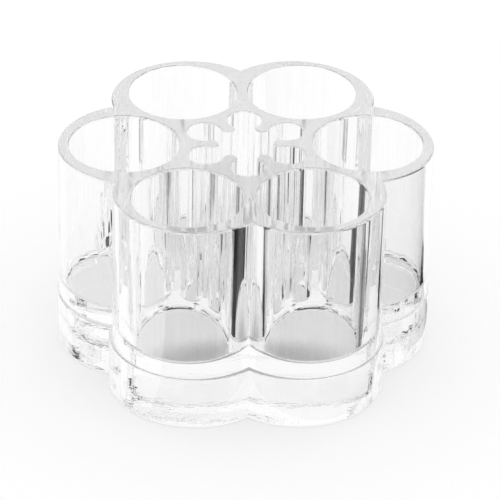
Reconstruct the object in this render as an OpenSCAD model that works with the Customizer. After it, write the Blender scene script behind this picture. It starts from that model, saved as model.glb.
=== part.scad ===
// Flower-shaped holder for lipsticks, in clear moulded acrylic.
// A cup body, with a ring of round cups about a petalled centre well, is bonded onto a thick solid base block.
// Frame: +Z up, origin at the centre of the underside, with the first cup on +X.

/* [Cups] */
// Number of cups in the ring
cup_count = 6; // [5:1:8]
// Bore of each cup just below its rounded mouth
cup_d = 29.2; // [24:0.2:32]
// Depth of each cup from the rim to its floor
cup_depth = 42; // [30:1:60]
// Lean of the cup's wall, so that the moulding leaves its core
cup_draft = 0.6; // [0.2:0.1:1.2]
// Fillet between the cup's wall and its floor
cup_fillet = 2; // [1:0.1:4]
// Thickness of the webs between the cups and round the centre well
web = 3.2; // [2.4:0.1:4.5]

/* [Outline] */
// Wall outside each cup, at the crown of its lobe
wall = 3; // [2:0.1:5]
// Radius of each lobe of the cup body's outline
lobe_r = 21.4; // [20:0.1:24]
// Rounding of the mouths of the cups
rim_round = 0.8; // [0.3:0.1:1]

/* [Centre well] */
// Radius of each petal of the well
petal_r = 4.6; // [4:0.1:5.2]
// Distance from the centre to the tips of the tongues between the petals
tongue_reach = 7.2; // [6:0.1:8.5]
// Width of the round tip of each tongue
tongue_w = 4; // [3:0.1:5]

/* [Base] */
// Thickness of the base block
base_h = 15.2; // [6:0.2:25]
// How much larger in radius the base block's lobes are than the cup body's
base_spread = 1.4; // [0.8:0.1:3]
// How far the base block stands out past the cup body at the crown of each lobe
base_overhang = 0.4; // [0.2:0.1:1.5]
// Floor of the cup body, between the cups and the base block
floor_t = 2.6; // [2:0.1:6]

/* [Hidden] */
$fn = 96;

// Cutters run past the faces that they open by this much
past = 1;
// Flat steps in each rounded edge
round_steps = 6;

floor_z = base_h + floor_t;
rim_z = floor_z + cup_depth;

// The cups stand a web apart on their pitch circle, and a petal lies in each gap between two cups
half_step = 180 / cup_count;
pitch_r = (cup_d + web) / (2 * sin(half_step));
lobe_pitch = pitch_r + cup_d / 2 + wall - lobe_r;
base_lobe_r = lobe_r + base_spread;
base_pitch = lobe_pitch + base_overhang - base_spread;
petal_to_cup = cup_d / 2 + web + petal_r;
petal_pitch = pitch_r * cos(half_step) - sqrt(petal_to_cup ^ 2 - (pitch_r * sin(half_step)) ^ 2);

// The open middle of the well reaches the corners where neighbouring petals come closest
well_r = norm([petal_pitch * cos(half_step), petal_pitch * sin(half_step) - petal_r]);

clear_acrylic = [0.88, 0.92, 0.94, 0.35];

function arc(x, z, r, from, to) =
  [for (i = [0 : round_steps]) let (a = from + (to - from) * i / round_steps) [x + r * cos(a), z + r * sin(a)]];

// How far the centre of a rounding lies from the corner between a level face and a wall that leans by draft
function inset(r, draft) = r * (1 - sin(draft)) / cos(draft);

module around(first_angle, radius) {
  for (i = [0 : cup_count - 1])
    rotate(first_angle + i * 2 * half_step) translate([radius, 0]) children();
}

// Solid flower between two heights: a circle for each lobe, filled in the middle
module flower(z0, z1, pitch, radius) {
  translate([0, 0, z0]) linear_extrude(z1 - z0) {
    around(0, pitch) circle(radius);
    circle(pitch * 0.8);
  }
}

// Half section of a drafted pocket with a filleted floor and a rounded mouth
module pocket_section(mouth_r, draft, fillet) {
  floor_r = mouth_r - cup_depth * tan(draft);
  mouth_x = mouth_r + inset(rim_round, draft);
  polygon(concat(
    [[0, floor_z]],
    arc(floor_r - inset(fillet, draft), floor_z + fillet, fillet, -90, -draft),
    arc(mouth_x, rim_z - rim_round, rim_round, 180 - draft, 90),
    [[mouth_x, rim_z + past], [0, rim_z + past]]
  ));
}

// Outline of the centre well: an open middle with round-tipped tongues standing in it,
// and a petal between each two cups, which pinches the tongues into necks
module well_outline() {
  tip_r = tongue_w / 2;
  tip = tongue_reach + tip_r;
  neck = tongue_w * 0.9;
  difference() {
    circle(well_r);
    around(0, tip) circle(tip_r);
    around(0, tip) translate([0, -neck / 2]) square([well_r, neck]);
  }
  around(half_step, petal_pitch) circle(petal_r);
}

module cup_body() {
  color(clear_acrylic) difference() {
    flower(base_h, rim_z, lobe_pitch, lobe_r);
    translate([0, 0, floor_z]) linear_extrude(cup_depth + past) well_outline();
    around(0, pitch_r) rotate_extrude() pocket_section(cup_d / 2, cup_draft, cup_fillet);
  }
}

module base_block() {
  color(clear_acrylic) flower(0, base_h, base_pitch, base_lobe_r);
}

cup_body();
base_block();
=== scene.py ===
from math import atan2, cos, degrees, pi, radians, sin, tan

import bmesh
import bpy
from mathutils import Matrix, Vector


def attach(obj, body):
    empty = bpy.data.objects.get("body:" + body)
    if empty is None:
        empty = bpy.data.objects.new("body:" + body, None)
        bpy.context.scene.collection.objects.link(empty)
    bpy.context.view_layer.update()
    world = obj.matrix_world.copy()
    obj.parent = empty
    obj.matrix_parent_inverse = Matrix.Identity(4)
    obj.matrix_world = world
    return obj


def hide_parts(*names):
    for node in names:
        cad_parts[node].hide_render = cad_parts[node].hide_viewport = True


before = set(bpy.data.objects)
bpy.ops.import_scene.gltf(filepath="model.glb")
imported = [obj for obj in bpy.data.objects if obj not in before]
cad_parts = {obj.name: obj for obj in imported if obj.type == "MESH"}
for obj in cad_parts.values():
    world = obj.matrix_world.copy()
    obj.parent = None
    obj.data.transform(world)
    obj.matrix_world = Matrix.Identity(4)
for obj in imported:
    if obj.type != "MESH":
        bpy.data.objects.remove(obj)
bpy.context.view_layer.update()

scene = bpy.context.scene
scene.view_settings.view_transform = "Standard"


# Base block: a thick solid slab of clear acrylic with a flower outline,
# rounder and a little wider than the cup body that is bonded onto its flat
# top. It is moulded with eased edges and polished all over, and light
# crosses the bond without a break.

LOBES = 6
BASE_PITCH = 0.0276
BASE_RADIUS = 0.0228
BASE_HEIGHT = 0.0152
FOOT_ROUND = 0.0010
LEDGE_ROUND = 0.0004
LOBE_PITCH = 0.0286
LOBE_RADIUS = 0.0214
SEAM_ROUND = 0.0004
BOND_DEPTH = 0.00002


def only(obj):
    if bpy.context.object and bpy.context.object.mode != "OBJECT":
        bpy.ops.object.mode_set(mode="OBJECT")
    bpy.ops.object.select_all(action="DESELECT")
    obj.select_set(True)
    bpy.context.view_layer.objects.active = obj


def round_edges(obj, wanted, width, steps):
    only(obj)
    bpy.ops.object.mode_set(mode="EDIT")
    bpy.ops.mesh.select_mode(type="EDGE")
    bpy.ops.mesh.select_all(action="DESELECT")
    mesh = bmesh.from_edit_mesh(obj.data)
    for edge in mesh.edges:
        edge.select = bool(wanted(edge))
    bmesh.update_edit_mesh(obj.data)
    bpy.ops.mesh.bevel(offset=width, offset_type="OFFSET", segments=steps, profile=0.5, affect="EDGES", clamp_overlap=False)
    bpy.ops.object.mode_set(mode="OBJECT")


def level_edge(edge, height):
    return (
        abs(edge.verts[0].co.z - height) < 1e-6
        and abs(edge.verts[1].co.z - height) < 1e-6
        and edge.calc_face_angle(0.0) > radians(50)
    )


def combine(target, tool, operation):
    only(target)
    step = target.modifiers.new("combine", "BOOLEAN")
    step.operation = operation
    step.solver = "EXACT"
    step.object = tool
    bpy.ops.object.modifier_apply(modifier=step.name)
    bpy.data.objects.remove(tool, do_unlink=True)


def turned_copy(obj, turns):
    copy = obj.copy()
    copy.data = obj.data.copy()
    scene.collection.objects.link(copy)
    copy.data.transform(Matrix.Rotation(2 * pi * turns / LOBES, 4, "Z"))
    return copy


def joined(objs):
    only(objs[0])
    for obj in objs[1:]:
        obj.select_set(True)
    bpy.ops.object.join()
    return objs[0]


def ring_of(obj):
    return joined([obj] + [turned_copy(obj, i) for i in range(1, LOBES)])


def upright_cylinder(name, radius_low, radius_high, low, high, x, sides):
    bpy.ops.object.select_all(action="DESELECT")
    bpy.ops.mesh.primitive_cone_add(
        vertices=sides, radius1=radius_low, radius2=radius_high, depth=high - low,
        end_fill_type="NGON", location=(x, 0, (low + high) / 2),
    )
    obj = bpy.context.object
    obj.name = name
    bpy.ops.object.transform_apply(location=True, rotation=True, scale=True)
    return obj


def flower_block(name, pitch, radius, low, high, low_round, high_round):
    lobe = upright_cylinder(name, radius, radius, low, high, pitch, 240)
    for height, width in ((low, low_round), (high, high_round)):
        if width:
            round_edges(lobe, lambda edge: level_edge(edge, height), width, 6)
    block = joined([lobe, turned_copy(lobe, 3)])
    for pair in [turned_copy(block, 1), turned_copy(block, 2)]:
        combine(block, pair, "UNION")
    combine(block, upright_cylinder("middle", 0.012, 0.012, low, high, 0, 96), "UNION")
    return block


def clean_and_smooth(obj):
    only(obj)
    bpy.ops.object.mode_set(mode="EDIT")
    bpy.ops.mesh.select_all(action="SELECT")
    bpy.ops.mesh.remove_doubles(threshold=2e-7)
    bpy.ops.mesh.quads_convert_to_tris(quad_method="BEAUTY", ngon_method="BEAUTY")
    bpy.ops.mesh.normals_make_consistent(inside=False)
    bpy.ops.object.mode_set(mode="OBJECT")
    bpy.ops.object.shade_smooth_by_angle(angle=radians(32))
    weighted = obj.modifiers.new("flat faces", "WEIGHTED_NORMAL")
    weighted.keep_sharp = True
    weighted.weight = 80
    bpy.ops.object.modifier_apply(modifier=weighted.name)


base = flower_block("base_block_clear", BASE_PITCH, BASE_RADIUS, 0.0, BASE_HEIGHT, FOOT_ROUND, LEDGE_ROUND)
seat = flower_block("seat", LOBE_PITCH, LOBE_RADIUS - SEAM_ROUND, BASE_HEIGHT - BOND_DEPTH, BASE_HEIGHT + 0.01, 0, 0)
combine(base, seat, "DIFFERENCE")
clean_and_smooth(base)

acrylic = bpy.data.materials.new("clear_acrylic")
acrylic.use_nodes = True
nodes, links = acrylic.node_tree.nodes, acrylic.node_tree.links
shader = nodes["Principled BSDF"]
shader.inputs["Base Color"].default_value = (1.0, 1.0, 1.0, 1.0)
shader.inputs["Metallic"].default_value = 0.0
shader.inputs["Transmission Weight"].default_value = 1.0
shader.inputs["IOR"].default_value = 1.49
where = nodes.new("ShaderNodeTexCoord")
drawn = nodes.new("ShaderNodeMapping")
drawn.inputs["Scale"].default_value = (420, 420, 4)
links.new(where.outputs["Object"], drawn.inputs["Vector"])
flow = nodes.new("ShaderNodeTexNoise")
flow.inputs["Scale"].default_value = 1.0
flow.inputs["Detail"].default_value = 2.0
links.new(drawn.outputs["Vector"], flow.inputs["Vector"])
ripple = nodes.new("ShaderNodeBump")
ripple.inputs["Strength"].default_value = 0.7
ripple.inputs["Distance"].default_value = 0.00004
links.new(flow.outputs["Fac"], ripple.inputs["Height"])
links.new(ripple.outputs["Normal"], shader.inputs["Normal"])
haze = nodes.new("ShaderNodeMapRange")
haze.inputs["To Min"].default_value = 0.0
haze.inputs["To Max"].default_value = 0.012
links.new(flow.outputs["Fac"], haze.inputs["Value"])
links.new(haze.outputs["Result"], shader.inputs["Roughness"])

bond = bpy.data.materials.new("bonded_joint")
bond.use_nodes = True
bond.node_tree.nodes["Principled BSDF"].inputs["Alpha"].default_value = 0.0


def make_clear(obj, joint_height):
    obj.data.materials.append(acrylic)
    obj.data.materials.append(bond)
    for face in obj.data.polygons:
        if abs(face.center.z - joint_height) < BOND_DEPTH / 4 and abs(face.normal.z) > 0.99:
            face.material_index = 1


make_clear(base, BASE_HEIGHT - BOND_DEPTH)
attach(base, "root")
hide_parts("base_block")


# Cup body: one clear moulding with a ring of drafted round cups about a
# petalled centre well. The mouths and rim are rounded, the cup floors are
# filleted, and its flat underside is bonded to the base block.

RIM_HEIGHT = 0.0598
FLOOR_HEIGHT = 0.0178
CUP_PITCH = 0.0324
CUP_RADIUS = 0.0146
CUP_DRAFT = radians(0.6)
CUP_FILLET = 0.0020
RIM_ROUND = 0.0008
PETAL_PITCH = 0.012589
PETAL_RADIUS = 0.0046
WELL_ROUND = 0.0005
WELL_FILLET = 0.0012
WELL_MIDDLE = 0.01103
TONGUE_REACH = 0.0072
TONGUE_WIDTH = 0.0040
NECK_WIDTH = 0.0036
ABOVE = 0.004

body = flower_block("cup_body_clear", LOBE_PITCH, LOBE_RADIUS, BASE_HEIGHT, RIM_HEIGHT, SEAM_ROUND, RIM_ROUND)

depth = RIM_HEIGHT - FLOOR_HEIGHT


def arc(x, z, radius, start, stop, steps):
    angles = [start + (stop - start) * i / steps for i in range(steps + 1)]
    return [(x + radius * cos(a), 0.0, z + radius * sin(a)) for a in angles]


def spun_space(name, mouth_radius, draft, fillet, mouth_round, x, sides):
    floor_radius = mouth_radius - depth * tan(draft)
    lean = (1 - sin(draft)) / cos(draft)
    mouth = mouth_radius + mouth_round * lean
    profile = [(0.0, 0.0, FLOOR_HEIGHT)]
    profile += arc(floor_radius - fillet * lean, FLOOR_HEIGHT + fillet, fillet, -pi / 2, -draft, 12)
    profile += arc(mouth, RIM_HEIGHT - mouth_round, mouth_round, pi - draft, pi / 2, 8)
    profile += [(mouth, 0.0, RIM_HEIGHT + ABOVE), (0.0, 0.0, RIM_HEIGHT + ABOVE)]
    bpy.ops.object.select_all(action="DESELECT")
    bpy.ops.mesh.primitive_plane_add(size=0.001)
    obj = bpy.context.object
    obj.name = name
    bpy.ops.object.mode_set(mode="EDIT")
    bpy.ops.mesh.delete(type="VERT")
    mesh = bmesh.from_edit_mesh(obj.data)
    corners = [mesh.verts.new(point) for point in profile]
    for first, second in zip(corners, corners[1:]):
        mesh.edges.new((first, second))
    bmesh.update_edit_mesh(obj.data)
    bpy.ops.mesh.select_all(action="SELECT")
    bpy.ops.mesh.spin(steps=sides, angle=2 * pi, center=(0, 0, 0), axis=(0, 0, 1))
    bpy.ops.mesh.select_all(action="SELECT")
    bpy.ops.mesh.remove_doubles(threshold=1e-6)
    bpy.ops.mesh.normals_make_consistent(inside=False)
    bpy.ops.object.mode_set(mode="OBJECT")
    obj.data.transform(Matrix.Translation((x, 0, 0)))
    return obj


cup = spun_space("cup_space", CUP_RADIUS, CUP_DRAFT, CUP_FILLET, RIM_ROUND, CUP_PITCH, 240)
combine(body, ring_of(cup), "DIFFERENCE")
combine(body, upright_cylinder("well_space", WELL_MIDDLE, WELL_MIDDLE, FLOOR_HEIGHT, RIM_HEIGHT + ABOVE, 0, 180), "DIFFERENCE")

foot = FLOOR_HEIGHT - 0.001
tip = TONGUE_REACH + TONGUE_WIDTH / 2
root = WELL_MIDDLE + 0.002
tongue = upright_cylinder("tongue", TONGUE_WIDTH / 2, TONGUE_WIDTH / 2, foot, RIM_HEIGHT, tip, 96)
round_edges(tongue, lambda edge: level_edge(edge, RIM_HEIGHT), WELL_ROUND, 8)
bpy.ops.object.select_all(action="DESELECT")
bpy.ops.mesh.primitive_cube_add(size=1, location=((tip + root) / 2, 0, (foot + RIM_HEIGHT) / 2))
bar = bpy.context.object
bar.scale = (root - tip, NECK_WIDTH, RIM_HEIGHT - foot)
bpy.ops.object.transform_apply(location=True, rotation=True, scale=True)
round_edges(bar, lambda edge: level_edge(edge, RIM_HEIGHT) and abs(edge.verts[0].co.y - edge.verts[1].co.y) < 1e-6, WELL_ROUND, 8)
combine(tongue, bar, "UNION")
combine(body, ring_of(tongue), "UNION")

petal = spun_space("petal_space", PETAL_RADIUS, 0.0, WELL_FILLET, WELL_ROUND, PETAL_PITCH, 120)
petal.data.transform(Matrix.Rotation(pi / LOBES, 4, "Z"))
combine(body, ring_of(petal), "DIFFERENCE")
clean_and_smooth(body)
make_clear(body, BASE_HEIGHT)
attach(body, "root")
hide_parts("cup_body")


# Studio: white paper that glows a little from below, under an even white
# surround. The glow is painted lower in a soft patch under the front of the
# holder, a painted shade that darkens the front of the cups' floors. Dark
# cards lie on the paper round the front and a grey screen stands behind them,
# both hidden from the camera: clear plastic shows its edges by the dark that
# it bends into view.

paper = bpy.data.materials.new("white_paper")
paper.use_nodes = True
nodes, links = paper.node_tree.nodes, paper.node_tree.links
shader = nodes["Principled BSDF"]
shader.inputs["Base Color"].default_value = (0.44, 0.44, 0.44, 1)
shader.inputs["Roughness"].default_value = 0.9
shader.inputs["Specular IOR Level"].default_value = 0.0
shader.inputs["Emission Color"].default_value = (1, 1, 1, 1)
where = nodes.new("ShaderNodeTexCoord")
# Painted shade: the paper's glow drops from 0.58 to 0.25 in a soft patch under the front of the holder, which
# darkens the front of the cups' floors.
painted_shade_patch_map = nodes.new("ShaderNodeMapping")
painted_shade_patch_map.vector_type = "TEXTURE"
painted_shade_patch_map.inputs["Location"].default_value = (0, -0.029, 0)
painted_shade_patch_map.inputs["Scale"].default_value = (0.037, 0.014, 0.014)
links.new(where.outputs["Object"], painted_shade_patch_map.inputs["Vector"])
painted_shade_spot = nodes.new("ShaderNodeTexGradient")
painted_shade_spot.gradient_type = "SPHERICAL"
links.new(painted_shade_patch_map.outputs["Vector"], painted_shade_spot.inputs["Vector"])
glow_less_painted_shade = nodes.new("ShaderNodeMapRange")
glow_less_painted_shade.interpolation_type = "SMOOTHSTEP"
glow_less_painted_shade.inputs["From Max"].default_value = 0.6
glow_less_painted_shade.inputs["To Min"].default_value = 0.58
glow_less_painted_shade.inputs["To Max"].default_value = 0.25
links.new(painted_shade_spot.outputs["Fac"], glow_less_painted_shade.inputs["Value"])
links.new(glow_less_painted_shade.outputs["Result"], shader.inputs["Emission Strength"])

bpy.ops.object.select_all(action="DESELECT")
bpy.ops.mesh.primitive_plane_add(size=8, location=(0, 0, -0.00005))
floor = bpy.context.object
floor.name = "floor"
bpy.ops.object.transform_apply(location=True, rotation=True, scale=True)
floor.data.materials.append(paper)


def card_material(name, tone):
    material = bpy.data.materials.new(name)
    material.use_nodes = True
    shader = material.node_tree.nodes["Principled BSDF"]
    shader.inputs["Base Color"].default_value = (tone, tone, tone, 1)
    shader.inputs["Roughness"].default_value = 1.0
    shader.inputs["Specular IOR Level"].default_value = 0.0
    return material


def round_card(name, inner, outer, rise, start, stop, material):
    bpy.ops.object.select_all(action="DESELECT")
    bpy.ops.mesh.primitive_circle_add(vertices=180, radius=inner, fill_type="NOTHING", location=(0, 0, 0.0001))
    card = bpy.context.object
    card.name = name
    bpy.ops.object.transform_apply(location=True, rotation=True, scale=True)
    bpy.ops.object.mode_set(mode="EDIT")
    bpy.ops.mesh.select_all(action="SELECT")
    bpy.ops.mesh.extrude_region()
    bpy.ops.transform.resize(value=(outer / inner, outer / inner, 1), center_override=(0, 0, 0))
    bpy.ops.transform.translate(value=(0, 0, rise))
    bpy.ops.mesh.select_mode(type="FACE")
    mesh = bmesh.from_edit_mesh(card.data)
    for face in mesh.faces:
        middle = face.calc_center_median()
        face.select_set((degrees(atan2(middle.y, middle.x)) - start) % 360 > stop - start)
    bmesh.update_edit_mesh(card.data)
    bpy.ops.mesh.delete(type="FACE")
    bpy.ops.object.mode_set(mode="OBJECT")
    card.data.materials.append(material)
    card.visible_camera = False
    card.visible_diffuse = False
    card.visible_shadow = False


dark = card_material("dark_card", 0.02)
round_card("front_card", 0.053, 1.6, 0, 236, 374, dark)
round_card("left_card", 0.070, 1.6, 0, 190, 236, dark)
round_card("front_screen", 1.5, 1.5, 1.2, 190, 350, card_material("grey_screen", 0.4))

world = bpy.data.worlds.new("white_surround")
scene.world = world
world.use_nodes = True
world.node_tree.nodes["Background"].inputs["Color"].default_value = (1, 1, 1, 1)
world.node_tree.nodes["Background"].inputs["Strength"].default_value = 1.0


# Camera: a long lens at the photograph's viewing angle, a little above the
# object and turned a few degrees from square on.

TURN, TILT, ROLL = radians(2.9), radians(31.5), radians(-1.33)
FOCAL_PIXELS, UNIT = 3500, 0.0324
ahead = Vector((0, cos(TILT), -sin(TILT)))
up = Vector((0, sin(TILT), cos(TILT)))
right = Vector((1, 0, 0))
place = -28.67 * UNIT * ahead + 0.051 * UNIT * right - 0.876 * UNIT * up
turn = Matrix.Rotation(-TURN, 3, "Z")
axes = Matrix((
    turn @ (right * cos(ROLL) - up * sin(ROLL)),
    turn @ (right * sin(ROLL) + up * cos(ROLL)),
    turn @ -ahead,
)).transposed()
lens = bpy.data.cameras.new("camera")
lens.sensor_width = 36
lens.lens = FOCAL_PIXELS / 500 * 36
lens.clip_end = 20
camera = bpy.data.objects.new("camera", lens)
scene.collection.objects.link(camera)
camera.matrix_world = Matrix.Translation(turn @ place + Vector((0, 0, RIM_HEIGHT))) @ axes.to_4x4()
scene.camera = camera
scene.cycles.max_bounces = 40
scene.cycles.transmission_bounces = 40
scene.cycles.glossy_bounces = 40
